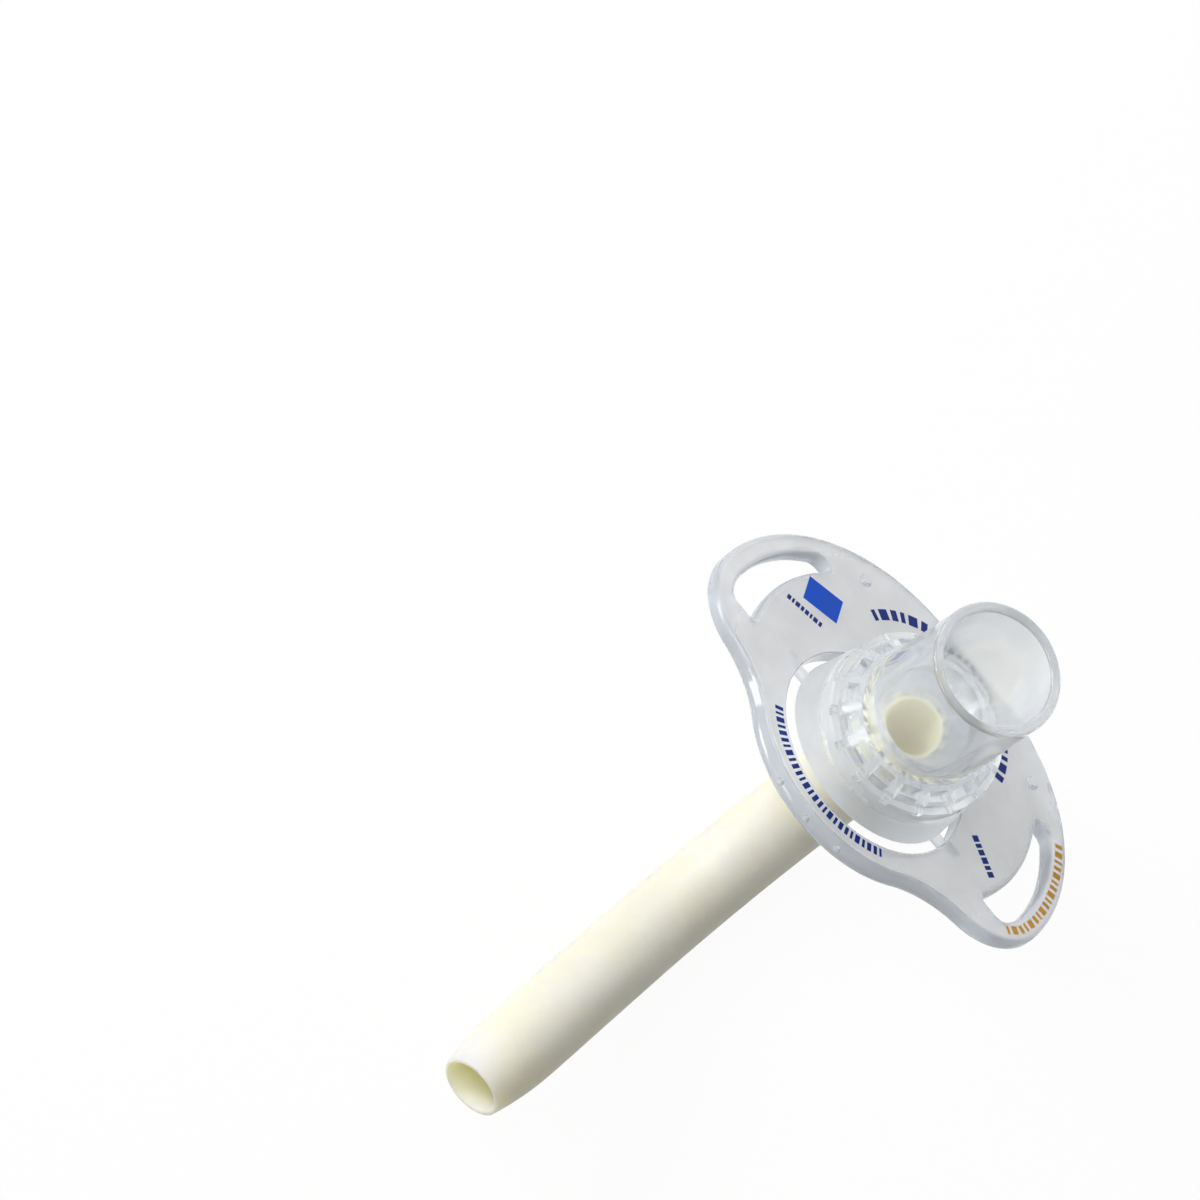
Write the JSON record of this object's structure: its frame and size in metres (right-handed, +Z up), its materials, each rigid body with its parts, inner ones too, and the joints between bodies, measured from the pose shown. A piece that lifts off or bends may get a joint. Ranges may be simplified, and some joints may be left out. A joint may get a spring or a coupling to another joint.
{
  "type": "tracheostomy tube",
  "caption": "Curved ivory airway tube with a clear conical breathing connector, a castellated hub and a tilting neck flange with tape slots, lying as it rests on a table.",
  "frame": {"origin": "under the middle of the resting part's box, on the table", "axes": "+Z up; +Y from the open tip of the tube towards the breathing connector; +X to the right ear, along the flange's pivot axis"},
  "size_m": [0.054, 0.0786, 0.0485],
  "materials": {
    "ivory_tube": "smooth semi-rigid ivory PVC, softly glossy",
    "clear_hub": "clear moulded plastic, slightly hazy",
    "clear_connector": "clear moulded plastic, glossy",
    "clear_flange": "clear plastic with a frosted panel and glossy bars"
  },
  "bodies": {
    "tube": {"outer_cannula": "ivory_tube", "hub": "clear_hub", "connector": "clear_connector"},
    "flange": {"neck_flange": "clear_flange"}
  },
  "joints": [
    {"name": "flange_tilt", "type": "hinge", "parent": "tube", "child": "flange", "pos_m": [0, 0.01893, 0.01874], "axis": [1, 0, 0], "range_deg": [-8, 20]}
  ]
}
